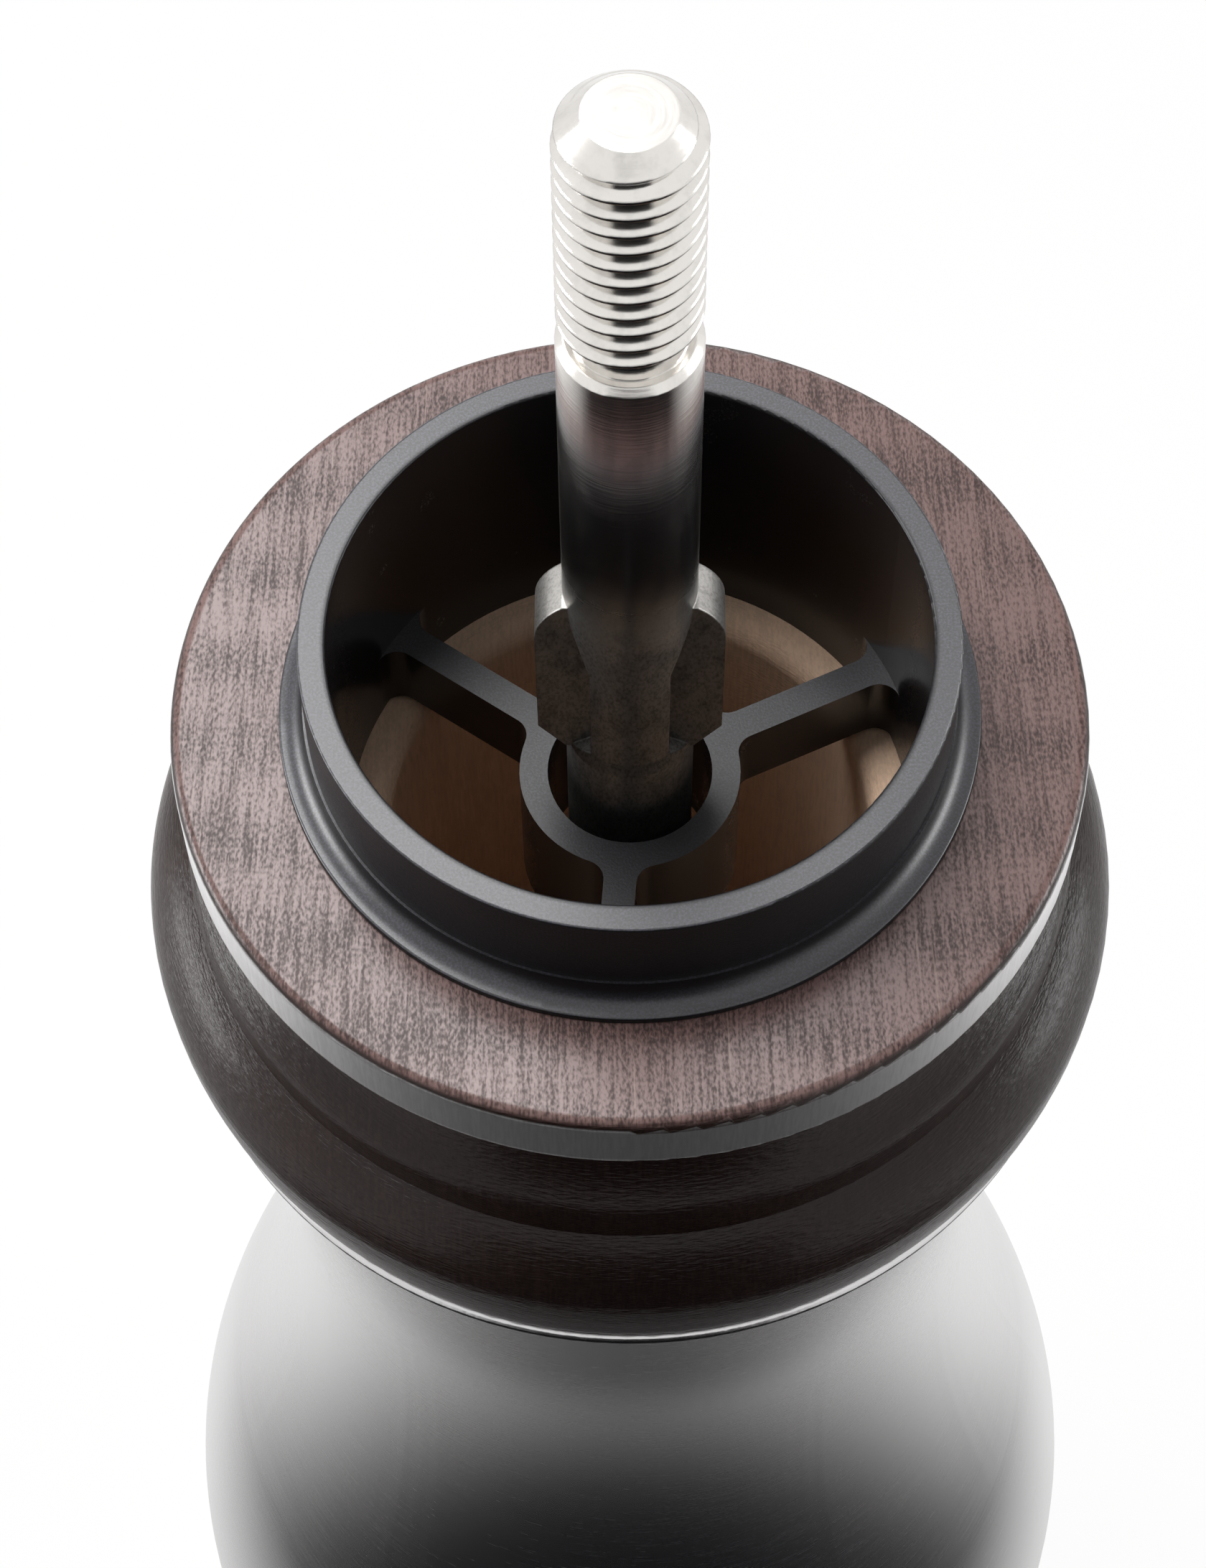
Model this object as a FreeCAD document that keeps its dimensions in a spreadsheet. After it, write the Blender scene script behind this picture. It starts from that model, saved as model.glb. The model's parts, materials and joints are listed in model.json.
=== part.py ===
import FreeCAD, Part
import os

import Sketcher

# Driving sizes in millimetres, with counts, one share and angles in degrees.
SIZES = {
    # Outer form of the steel cup and jacket
    "belly_radius": 30.15,
    "cup_arc": 140.0,
    "base_round": 3.0,
    "waist_radius": 19.4,
    "waist_level": 92.2,
    "waist_share": 0.59,
    "sheet": 0.8,
    "rim_edge": 0.3,
    # Cup for the grounds
    "foot_height": 1.2,
    "foot_width": 6.0,
    "foot_inset": 1.0,
    "foot_edge": 0.3,
    "cup_height": 34.0,
    "lining_wall": 1.2,
    "lining_depth": 9.0,
    "lining_lead": 0.4,
    "lining_fit": 0.05,
    "cup_clearance": 0.4,
    # Carrier plate between cup and jacket
    "plate_thickness": 4.0,
    "band_height": 1.0,
    "band_inset": 0.15,
    "jacket_fit": 0.1,
    "skirt_depth": 8.0,
    "skirt_wall": 2.4,
    "skirt_lead": 0.5,
    "seal_wire": 1.8,
    "seal_drop": 4.5,
    "seal_stand": 0.2,
    "seal_groove_play": 0.3,
    # Screws from the carrier plate into the wood
    "screw_count": 3,
    "screw_radius": 1.2,
    "screw_head_radius": 2.2,
    "screw_head_height": 1.2,
    "screw_bite": 10.0,
    "screw_point": 2.0,
    "screw_play": 0.15,
    "screw_fit": 0.02,
    "slot_width": 0.7,
    "slot_depth": 0.6,
    # Wooden body
    "neck_top": 140.0,
    "disc_radius": 21.4,
    "disc_edge": 0.6,
    "disc_depth": 3.9,
    "disc_under_edge": 0.5,
    "cove_radius": 19.2,
    "cove_arc": 4.6,
    "lip_depth": 9.6,
    "lip_inset": 2.4,
    "lip_edge": 0.9,
    "bead_depth": 15.5,
    "bead_swell": 1.16,
    "bead_shoulder": 4.2,
    "head_depth": 21.2,
    "rim_reveal": 0.45,
    "core_fit": 0.2,
    "hopper_radius": 11.8,
    "hopper_lead": 1.2,
    # Filler insert with its spider
    "insert_radius": 15.0,
    "insert_wall": 1.3,
    "insert_depth": 10.5,
    "insert_fit": 0.05,
    "collar_rise": 6.4,
    "collar_edge": 0.12,
    "flange_hollow": 1.18,
    "flange_lip": 0.35,
    "flange_edge": 0.12,
    "flange_step": 0.12,
    "spider_depth": 6.0,
    "spoke_count": 3,
    "spoke_width": 1.55,
    "spoke_height": 4.2,
    "spoke_root": 1.0,
    "spoke_angle": 25.5,
    "hub_radius": 5.3,
    "hub_bore": 3.95,
    "hub_height": 8.0,
    # Drive shaft
    "shaft_radius": 3.0,
    "shaft_reach": 42.2,
    "shaft_stub": 1.5,
    "stub_edge": 0.5,
    "thread_length": 12.4,
    "thread_pitch": 1.0,
    "thread_depth": 0.6,
    "thread_relief": 0.05,
    "thread_root_flat": 0.2,
    "end_chamfer": 1.1,
    "relief_width": 0.9,
    "relief_depth": 0.65,
    "collar_chamfer": 0.3,
    "wing_half_width": 4.25,
    "wing_thickness": 2.4,
    "wing_foot": 1.5,
    "wing_chamfer": 1.8,
    "wing_length": 7.6,
    "wing_shoulder": 2.5,
    "wing_round": 3.2,
    "ridge_half_width": 1.8,
    "ridge_drop": 0.2,
    "pinch_taper": 4.2,
    "pinch_foot": 0.8,
    "flat_half_width": 2.3,
    # Bearing bridge and what sits on the shaft there
    "bridge_thickness": 3.0,
    "arm_count": 3,
    "arm_width": 2.6,
    "bridge_hub_radius": 5.6,
    "bridge_hub_drop": 2.0,
    "bridge_hub_rise": 4.0,
    "bush_wall": 1.2,
    "bush_fit": 0.02,
    "bush_flange": 0.8,
    "running_fit": 0.04,
    "washer_thickness": 0.8,
    "washer_play": 0.3,
    "clip_thickness": 0.7,
    "clip_depth": 0.5,
    "clip_width": 1.9,
    "clip_play": 0.05,
    "clip_gap": 2.4,
    # Burrs
    "ring_radius": 14.5,
    "ring_fit": 0.05,
    "ring_height": 18.0,
    "ring_mouth_step": 0.3,
    "ring_teeth": 24,
    "ring_tooth_depth": 0.35,
    "ring_tooth_width": 2.2,
    "key_count": 3,
    "key_radius": 1.0,
    "key_length": 9.0,
    "key_fit": 0.02,
    "cone_radius": 12.4,
    "cone_drop": 1.0,
    "knee_radius": 9.8,
    "knee_height": 3.0,
    "cone_top_radius": 7.0,
    "cone_height": 13.5,
    "cone_seat_height": 6.0,
    "cone_teeth": 21,
    "cone_tooth_depth": 1.5,
    "cone_tooth_width": 2.4,
    "breaker_count": 6,
    "breaker_depth": 0.9,
    "breaker_width": 3.6,
    "breaker_turn": 35.0,
    "grind_gap": 0.8,
    "plate_gap": 0.4,
    # Spring and fasteners under the bridge
    "spring_wire": 0.8,
    "spring_turns": 5,
    "spring_play": 0.5,
    "seat_thickness": 1.0,
    "seat_collar": 1.2,
    "spring_bore_play": 0.5,
    "lock_washer_radius": 6.0,
    "lock_washer_thickness": 0.8,
    "nut_width": 10.0,
    "nut_height": 5.0,
    "nut_fit": 0.03,
}

ROOT_THREE = 3 ** 0.5


class Size:
    """A number together with the expression that gives it from the sheet."""

    def __init__(self, value, text):
        self.value = value
        self.text = text

    def joined(self, sign, other, value):
        return Size(value, f"({self.text} {sign} {text_of(other)})")

    def __add__(self, other):
        return self.joined("+", other, self.value + value_of(other))

    def __sub__(self, other):
        return self.joined("-", other, self.value - value_of(other))

    def __mul__(self, other):
        return self.joined("*", other, self.value * value_of(other))

    def __truediv__(self, other):
        return self.joined("/", other, self.value / value_of(other))

    def __neg__(self):
        return Size(-self.value, f"(-{self.text})")


def value_of(size):
    return size.value if isinstance(size, Size) else size


def text_of(size):
    return size.text if isinstance(size, Size) else str(size)


def root(size):
    return Size(size.value ** 0.5, f"sqrt({size.text})")


class Sheet:
    """The spreadsheet of driving sizes, read by name."""

    def __init__(self, doc):
        sheet = doc.addObject("Spreadsheet::Sheet", "Sizes")
        for row, (name, value) in enumerate(SIZES.items(), start=1):
            sheet.set(f"A{row}", name)
            sheet.set(f"B{row}", str(value))
            sheet.setAlias(f"B{row}", name)
        doc.recompute()

    def __getattr__(self, name):
        return Size(SIZES[name], f"Sizes.{name}")


doc = FreeCAD.newDocument("coffee_mill")
size = Sheet(doc)

# Steel form: the cup arc, the belly arc and the waist arc follow on with a common tangent
jacket_foot = size.cup_height + size.band_height
belly_level = jacket_foot
belly_to_waist = size.belly_radius - size.waist_radius
rise_to_waist = size.waist_level - belly_level
arc_sum = (belly_to_waist * belly_to_waist + rise_to_waist * rise_to_waist) / (belly_to_waist * 2)
waist_arc = arc_sum * size.waist_share
belly_arc = arc_sum - waist_arc
belly_centre = size.belly_radius - belly_arc
waist_centre = size.waist_radius + waist_arc

# Foot of the cup: a base round that goes over into the cup arc
cup_centre = size.belly_radius - size.cup_arc
base_round_reach = size.cup_arc - size.base_round
base_drop = belly_level - size.foot_height - size.base_round
base_across = root(base_round_reach * base_round_reach - base_drop * base_drop)
base_flat = cup_centre + base_across


def cup_at(level, inset=0):
    """Radius of the cup arc, moved in by inset, at a height."""
    arc = size.cup_arc - inset
    drop = belly_level - level
    return cup_centre + root(arc * arc - drop * drop)


def base_point(inset):
    """Where the base round goes over into the cup arc, both moved in by inset."""
    share = (size.cup_arc - inset) / base_round_reach
    return cup_centre + base_across * share, belly_level - base_drop * share


def belly_at(level, inset=0):
    """Radius of the belly arc, moved in by inset, at a height."""
    arc = belly_arc - inset
    rise = level - belly_level
    return belly_centre + root(arc * arc - rise * rise)


def waist_at(level, inset=0):
    """Radius of the waist arc, moved in by inset, at a height."""
    arc = waist_arc + inset
    rise = level - size.waist_level
    return waist_centre - root(arc * arc - rise * rise)


def meeting_point(inset):
    """Where the belly and waist arcs meet, both moved in by inset."""
    share = (belly_arc - inset) / arc_sum
    return belly_centre + (waist_centre - belly_centre) * share, belly_level + rise_to_waist * share


# Levels above the table
lining_foot = size.cup_height - size.lining_depth
burr_floor = size.cup_height + size.plate_thickness
jacket_rim = size.neck_top - size.head_depth
ring_top = burr_floor + size.ring_height
bridge_top = ring_top + size.bridge_thickness
bridge_hub_foot = ring_top - size.bridge_hub_drop
bridge_hub_top = bridge_top + size.bridge_hub_rise
clip_foot = bridge_hub_top + size.washer_thickness
cone_foot = burr_floor - size.cone_drop
cone_seat = burr_floor + size.cone_seat_height
cone_top = burr_floor + size.cone_height
knee_level = burr_floor + size.knee_height
spring_foot = cone_seat + size.seat_thickness
spring_top = bridge_hub_foot - size.bush_flange
nut_top = cone_foot - size.lock_washer_thickness
nut_foot = nut_top - size.nut_height
shaft_foot = nut_foot - size.shaft_stub
shaft_top = size.neck_top + size.shaft_reach
insert_foot = size.neck_top - size.insert_depth
spider_top = size.neck_top - size.spider_depth
pinch_low = size.neck_top - size.wing_foot
wing_low = pinch_low + size.wing_chamfer
wing_high = wing_low + size.wing_length
pinch_high = wing_high + size.wing_shoulder

# Radii that pieces share
mouth_radius = cup_at(size.cup_height)
lining_bore = cup_at(lining_foot, size.sheet + size.lining_fit) - size.lining_wall
skirt_radius = lining_bore - size.cup_clearance
rim_radius = waist_at(jacket_rim)
core_radius = size.waist_radius - size.sheet - size.core_fit
pocket_radius = size.ring_radius + size.ring_fit
screw_circle = (pocket_radius + core_radius) / 2
bush_bore = size.shaft_radius + size.running_fit
bush_radius = bush_bore + size.bush_wall
collar_bore = size.insert_radius - size.insert_wall
spring_radius = size.shaft_radius + size.spring_play + size.spring_wire / 2
spring_bore = spring_radius + size.spring_wire / 2 + size.spring_bore_play
cone_slope = (size.cone_radius - size.knee_radius) / (size.cone_drop + size.knee_height)
ring_exit = size.cone_radius - cone_slope * size.cone_drop + size.grind_gap
ring_throat = size.knee_radius + size.grind_gap
ring_mouth = size.hopper_radius - size.ring_mouth_step
thread_radius = size.shaft_radius - size.thread_relief


# Sketch and feature helpers


def new_body(name):
    body = doc.addObject("PartDesign::Body", name)
    body.Label = name
    body.AllowCompound = True
    doc.recompute()
    return body


def origin_feature(body, role):
    return [item for item in body.Origin.OriginFeatures if item.Role == role][0]


def new_sketch(body, name, plane, lift=None, turn=None):
    """An empty sketch on an origin plane, lifted and turned about its normal."""
    sketch = body.newObject("Sketcher::SketchObject", name)
    sketch.AttachmentSupport = [(origin_feature(body, plane), "")]
    sketch.MapMode = "FlatFace"
    if lift is not None:
        sketch.setExpression("AttachmentOffset.Base.z", lift.text)
    if turn is not None:
        sketch.setExpression("AttachmentOffset.Rotation.Angle", turn.text)
    return sketch


def bind(sketch, constraint, amount):
    index = sketch.addConstraint(constraint)
    if isinstance(amount, Size):
        sketch.setExpression(f"Constraints[{index}]", amount.text)


def hold(sketch, corner, across, up):
    """Fix a corner of the sketch by its distances from the origin."""
    for kind, axis, amount in (("DistanceX", -2, across), ("DistanceY", -1, up)):
        value = value_of(amount)
        if not isinstance(amount, Size) and value == 0:
            sketch.addConstraint(Sketcher.Constraint("PointOnObject", *corner, axis))
        elif value > 0:
            bind(sketch, Sketcher.Constraint(kind, -1, 1, *corner, value), amount)
        else:
            bind(sketch, Sketcher.Constraint(kind, *corner, -1, 1, -value), -amount)


def line(across, up):
    return across, up, None, 0


def bend_left(across, up, radius):
    return across, up, radius, 1


def bend_right(across, up, radius):
    return across, up, radius, -1


def vector(across, up):
    return FreeCAD.Vector(value_of(across), value_of(up), 0)


def arc_centre(start, end, radius, side):
    """Centre of an arc of under a half circle, to the left (side 1) or right (side -1)."""
    chord = end - start
    reach = (radius ** 2 - (chord.Length / 2) ** 2) ** 0.5
    left = FreeCAD.Vector(-chord.y, chord.x, 0).normalize()
    return (start + end) / 2 + left * reach * side


def add_side(sketch, start, end, radius, side):
    """Add one side and return its first and last point references."""
    if side == 0:
        index = sketch.addGeometry(Part.LineSegment(start, end))
        return (index, 1), (index, 2)
    centre = arc_centre(start, end, value_of(radius), side)
    first, last = (start, end) if side > 0 else (end, start)
    circle = Part.Circle(centre, FreeCAD.Vector(0, 0, 1), value_of(radius))
    arc = Part.ArcOfCircle(circle, circle.parameter(first), circle.parameter(last))
    index = sketch.addGeometry(arc)
    bind(sketch, Sketcher.Constraint("Radius", index, value_of(radius)), radius)
    return ((index, 1), (index, 2)) if side > 0 else ((index, 2), (index, 1))


def outline(body, name, plane, start, *sides, lift=None, turn=None, axis=None):
    """A closed sketch from start along each side, then straight back to start."""
    sketch = new_sketch(body, name, plane, lift, turn)
    corners = [start] + [side[:2] for side in sides]
    runs = list(sides) + [line(*start)]
    ends = []
    for corner, run in zip(corners, runs):
        ends.append(add_side(sketch, vector(*corner), vector(*run[:2]), run[2], run[3]))
    for index, corner in enumerate(corners):
        sketch.addConstraint(Sketcher.Constraint("Coincident", *ends[index - 1][1], *ends[index][0]))
        hold(sketch, ends[index][0], *corner)
    if axis is not None:
        low = vector(axis, corners[0][1])
        index = sketch.addGeometry(Part.LineSegment(low, low + FreeCAD.Vector(0, 1, 0)), True)
        hold(sketch, (index, 1), axis, corners[0][1])
        sketch.addConstraint(Sketcher.Constraint("Vertical", index))
        sketch.addConstraint(Sketcher.Constraint("DistanceY", index, 1, index, 2, 1.0))
    return sketch


def disc(body, name, plane, across, up, radius, lift=None):
    """A sketch of one circle."""
    sketch = new_sketch(body, name, plane, lift)
    circle = Part.Circle(vector(across, up), FreeCAD.Vector(0, 0, 1), value_of(radius))
    index = sketch.addGeometry(circle)
    bind(sketch, Sketcher.Constraint("Radius", index, value_of(radius)), radius)
    hold(sketch, (index, 3), across, up)
    return sketch


def turned(body, sketch, name, axis="V_Axis"):
    feature = body.newObject("PartDesign::Revolution", name)
    feature.Profile = sketch
    feature.ReferenceAxis = (sketch, [axis])
    feature.Angle = 360
    doc.recompute()
    return feature


def padded(body, sketch, name, length, symmetric=False):
    feature = body.newObject("PartDesign::Pad", name)
    feature.Profile = sketch
    feature.SideType = "Symmetric" if symmetric else "One side"
    feature.setExpression("Length", length.text)
    doc.recompute()
    return feature


def pocketed(body, sketch, name, depth, symmetric=False):
    """Cut along the sketch's normal, or to both sides of it."""
    before = body.Shape.Volume
    feature = body.newObject("PartDesign::Pocket", name)
    feature.Profile = sketch
    feature.SideType = "Symmetric" if symmetric else "One side"
    feature.Reversed = not symmetric
    feature.setExpression("Length", depth.text)
    doc.recompute()
    if body.Shape.Volume >= before:
        raise RuntimeError(f"{body.Label}: {name} cuts nothing")
    return feature


def repeated(body, features, name, count):
    pattern = body.newObject("PartDesign::PolarPattern", name)
    pattern.Originals = features
    pattern.Axis = (origin_feature(body, "Z_Axis"), [""])
    pattern.Angle = 360
    if isinstance(count, Size):
        pattern.setExpression("Occurrences", count.text)
    else:
        pattern.Occurrences = count
    body.Tip = pattern
    doc.recompute()
    return pattern


def rounded(body, name, radius, chosen):
    """Round every edge of the body for which chosen(edge) is true."""
    base = body.Tip
    edges = [f"Edge{n}" for n, edge in enumerate(base.Shape.Edges, start=1) if chosen(edge)]
    if not edges:
        raise RuntimeError(f"{body.Label}: {name} finds no edge")
    feature = body.newObject("PartDesign::Fillet", name)
    feature.Base = (base, edges)
    feature.setExpression("Radius", radius.text)
    doc.recompute()
    return feature


def is_ring(edge, radius, level):
    """True for a level circle round the main axis with this radius and height."""
    curve = edge.Curve
    if not isinstance(curve, Part.Circle):
        return False
    near = 1e-4
    on_axis = abs(curve.Center.x) < near and abs(curve.Center.y) < near
    same_height = abs(curve.Center.z - value_of(level)) < near
    return on_axis and same_height and abs(curve.Radius - value_of(radius)) < near


def ring_of(name, inner, outer, low, high):
    """A plain turned ring."""
    body = new_body(name)
    section = outline(
        body, "section", "XZ_Plane", (inner, low), line(outer, low), line(outer, high), line(inner, high)
    )
    turned(body, section, "ring")
    return body


# Cup


def make_cup_shell():
    body = new_body("cup_shell")
    floor = size.foot_height + size.sheet
    section = outline(
        body, "section", "XZ_Plane", (0, size.foot_height),
        line(base_flat, size.foot_height),
        bend_left(*base_point(0), size.base_round),
        bend_left(mouth_radius, size.cup_height, size.cup_arc),
        line(cup_at(size.cup_height, size.sheet), size.cup_height),
        bend_right(*base_point(size.sheet), size.cup_arc - size.sheet),
        bend_right(base_flat, floor, size.base_round - size.sheet),
        line(0, floor),
    )
    turned(body, section, "shell")
    rounded(body, "mouth_edge", size.rim_edge, lambda edge: is_ring(edge, mouth_radius, size.cup_height))
    return body


def make_cup_rim():
    body = new_body("cup_rim")
    inset = size.sheet + size.lining_fit
    section = outline(
        body, "section", "XZ_Plane", (lining_bore, lining_foot),
        line(cup_at(lining_foot, inset), lining_foot),
        bend_left(cup_at(size.cup_height, inset), size.cup_height, size.cup_arc - inset),
        line(lining_bore + size.lining_lead, size.cup_height),
        line(lining_bore, size.cup_height - size.lining_lead),
    )
    turned(body, section, "lining")
    return body


def make_foot_pad():
    outer = base_flat - size.foot_inset
    inner = outer - size.foot_width
    body = ring_of("foot_pad", inner, outer, 0, size.foot_height)
    rounded(
        body, "lower_edges", size.foot_edge,
        lambda edge: is_ring(edge, outer, 0) or is_ring(edge, inner, 0),
    )
    return body


# Carrier plate and what holds it


def make_burr_carrier():
    body = new_body("burr_carrier")
    bore = size.cone_radius + size.plate_gap
    band_radius = mouth_radius - size.band_inset
    step_radius = belly_at(burr_floor, size.sheet) - size.jacket_fit
    skirt_foot = size.cup_height - size.skirt_depth
    groove_middle = size.cup_height - size.seal_drop
    groove_half = size.seal_wire / 2 + size.seal_groove_play
    groove_radius = skirt_radius - size.seal_wire + size.seal_stand
    section = outline(
        body, "section", "XZ_Plane", (bore, size.cup_height),
        line(skirt_radius - size.skirt_wall, size.cup_height),
        line(skirt_radius - size.skirt_wall, skirt_foot),
        line(skirt_radius - size.skirt_lead, skirt_foot),
        line(skirt_radius, skirt_foot + size.skirt_lead),
        line(skirt_radius, groove_middle - groove_half),
        line(groove_radius, groove_middle - groove_half),
        line(groove_radius, groove_middle + groove_half),
        line(skirt_radius, groove_middle + groove_half),
        line(skirt_radius, size.cup_height),
        line(band_radius, size.cup_height),
        line(band_radius, jacket_foot),
        line(step_radius, jacket_foot),
        line(step_radius, burr_floor),
        line(bore, burr_floor),
    )
    turned(body, section, "plate")
    hole = disc(
        body, "hole_sketch", "XY_Plane", screw_circle, 0, size.screw_radius + size.screw_play, size.cup_height
    )
    through = pocketed(body, hole, "screw_hole", size.plate_thickness)
    recess = disc(
        body, "recess_sketch", "XY_Plane", screw_circle, 0, size.screw_head_radius + size.screw_play,
        size.cup_height,
    )
    head_room = pocketed(body, recess, "head_recess", size.screw_head_height)
    repeated(body, [through, head_room], "screw_holes", size.screw_count)
    return body


def make_carrier_screws():
    body = new_body("carrier_screws")
    low = size.cup_height
    under_head = low + size.screw_head_height
    tip = burr_floor + size.screw_bite
    section = outline(
        body, "section", "XZ_Plane", (screw_circle, low),
        line(screw_circle + size.screw_head_radius, low),
        line(screw_circle + size.screw_head_radius, under_head),
        line(screw_circle + size.screw_radius, under_head),
        line(screw_circle + size.screw_radius, tip - size.screw_point),
        line(screw_circle, tip),
        axis=screw_circle,
    )
    screw = turned(body, section, "screw", "Axis0")
    half = size.slot_width / 2
    reach = size.screw_head_radius * 2
    slot = outline(
        body, "slot_sketch", "XY_Plane", (screw_circle - reach, -half),
        line(screw_circle + reach, -half), line(screw_circle + reach, half), line(screw_circle - reach, half),
        lift=low,
    )
    driver_slot = pocketed(body, slot, "driver_slot", size.slot_depth)
    repeated(body, [screw, driver_slot], "screws", size.screw_count)
    return body


def make_cup_seal():
    body = new_body("cup_seal")
    centre = skirt_radius - size.seal_wire / 2 + size.seal_stand
    section = disc(
        body, "section", "XZ_Plane", centre, size.cup_height - size.seal_drop, size.seal_wire / 2
    )
    turned(body, section, "ring")
    return body


# Wooden body


def make_wood_body():
    body = new_body("wood_body")
    disc_foot = size.neck_top - size.disc_depth
    lip = size.neck_top - size.lip_depth
    bead_foot_radius = rim_radius - size.rim_reveal
    bead_radius = bead_foot_radius + size.bead_swell
    bead_level = size.neck_top - size.bead_depth
    bead_drop = bead_level - jacket_rim
    bead_arc = (size.bead_swell * size.bead_swell + bead_drop * bead_drop) / (size.bead_swell * 2)
    lip_radius = bead_radius - size.lip_inset
    shoulder_reach = size.bead_shoulder - size.lip_inset
    shoulder_rise = root(size.bead_shoulder * size.bead_shoulder - shoulder_reach * shoulder_reach)
    insert_bore = size.insert_radius + size.insert_fit
    section = outline(
        body, "section", "XZ_Plane", (insert_bore, size.neck_top),
        line(insert_bore, insert_foot),
        line(size.hopper_radius + size.hopper_lead, insert_foot),
        bend_left(size.hopper_radius, insert_foot - size.hopper_lead, size.hopper_lead),
        line(size.hopper_radius, bridge_top),
        line(pocket_radius, bridge_top),
        line(pocket_radius, burr_floor),
        line(core_radius, burr_floor),
        line(core_radius, jacket_rim),
        line(bead_foot_radius, jacket_rim),
        bend_left(bead_radius, bead_level, bead_arc),
        bend_left(lip_radius, bead_level + shoulder_rise, size.bead_shoulder),
        line(lip_radius, lip),
        bend_right(size.cove_radius, disc_foot, size.cove_arc),
        line(size.disc_radius - size.disc_under_edge, disc_foot),
        bend_left(size.disc_radius, disc_foot + size.disc_under_edge, size.disc_under_edge),
        line(size.disc_radius, size.neck_top - size.disc_edge),
        bend_left(size.disc_radius - size.disc_edge, size.neck_top, size.disc_edge),
    )
    turned(body, section, "turning")
    rounded(body, "lip_edge", size.lip_edge, lambda edge: is_ring(edge, lip_radius, lip))
    pilot = disc(
        body, "pilot_sketch", "XY_Plane", screw_circle, 0, size.screw_radius + size.screw_fit, burr_floor
    )
    pilot_hole = pocketed(body, pilot, "pilot_hole", size.screw_bite + size.screw_point)
    repeated(body, [pilot_hole], "pilot_holes", size.screw_count)
    key_seat = cut_key_seat(body)
    repeated(body, [key_seat], "key_seats", size.key_count)
    return body


# Filler insert


def make_filler_insert():
    body = new_body("filler_insert")
    collar_top = size.neck_top + size.collar_rise
    lip_top = size.neck_top + size.flange_lip
    step_radius = size.insert_radius + size.flange_step
    flange_radius = step_radius + size.flange_hollow
    section = outline(
        body, "section", "XZ_Plane", (collar_bore, insert_foot),
        line(size.insert_radius, insert_foot),
        line(size.insert_radius, size.neck_top),
        line(flange_radius, size.neck_top),
        line(flange_radius, lip_top),
        bend_right(step_radius, lip_top + size.flange_hollow, size.flange_hollow),
        line(size.insert_radius, lip_top + size.flange_hollow),
        line(size.insert_radius, collar_top),
        line(collar_bore, collar_top),
    )
    turned(body, section, "collar")
    half = size.spoke_width / 2
    middle_of_wall = size.insert_radius - size.insert_wall / 2
    middle_of_hub = (size.hub_radius + size.hub_bore) / 2
    spoke_foot = spider_top - size.spoke_height
    spoke_sketch = outline(
        body, "spoke_sketch", "XY_Plane", (middle_of_hub, -half),
        line(middle_of_wall, -half), line(middle_of_wall, half), line(middle_of_hub, half),
        lift=spoke_foot,
    )
    spoke = padded(body, spoke_sketch, "spoke", size.spoke_height)
    repeated(body, [spoke], "spokes", size.spoke_count)
    hub_foot = spider_top - size.hub_height
    hub_sketch = outline(
        body, "hub_sketch", "XZ_Plane", (size.hub_bore, hub_foot),
        line(size.hub_radius, hub_foot), line(size.hub_radius, spider_top), line(size.hub_bore, spider_top),
    )
    turned(body, hub_sketch, "hub")

    def is_spoke_root(edge):
        ends = [vertex.Point for vertex in edge.Vertexes]
        upright = len(ends) == 2 and (ends[0] - ends[1]).cross(FreeCAD.Vector(0, 0, 1)).Length < 1e-4
        long_as_spoke = abs(edge.Length - size.spoke_height.value) < 1e-3
        return upright and long_as_spoke

    rounded(body, "spoke_roots", size.spoke_root, is_spoke_root)
    rounded(
        body, "collar_edges", size.collar_edge,
        lambda edge: is_ring(edge, size.insert_radius, collar_top) or is_ring(edge, collar_bore, collar_top),
    )
    rounded(body, "flange_edge", size.flange_edge, lambda edge: is_ring(edge, flange_radius, lip_top))
    body.setExpression("Placement.Rotation.Angle", size.spoke_angle.text)
    doc.recompute()
    return body


# Steel jacket


def make_steel_jacket():
    body = new_body("steel_jacket")
    meet_radius, meet_level = meeting_point(0)
    inner_meet_radius, inner_meet_level = meeting_point(size.sheet)
    section = outline(
        body, "section", "XZ_Plane", (size.belly_radius, jacket_foot),
        bend_left(meet_radius, meet_level, belly_arc),
        bend_right(rim_radius, jacket_rim, waist_arc),
        line(waist_at(jacket_rim, size.sheet), jacket_rim),
        bend_left(inner_meet_radius, inner_meet_level, waist_arc + size.sheet),
        bend_right(size.belly_radius - size.sheet, jacket_foot, belly_arc - size.sheet),
    )
    turned(body, section, "shell")
    rounded(body, "rim_edge", size.rim_edge, lambda edge: is_ring(edge, rim_radius, jacket_rim))
    return body


# Shaft and what it carries


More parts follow.
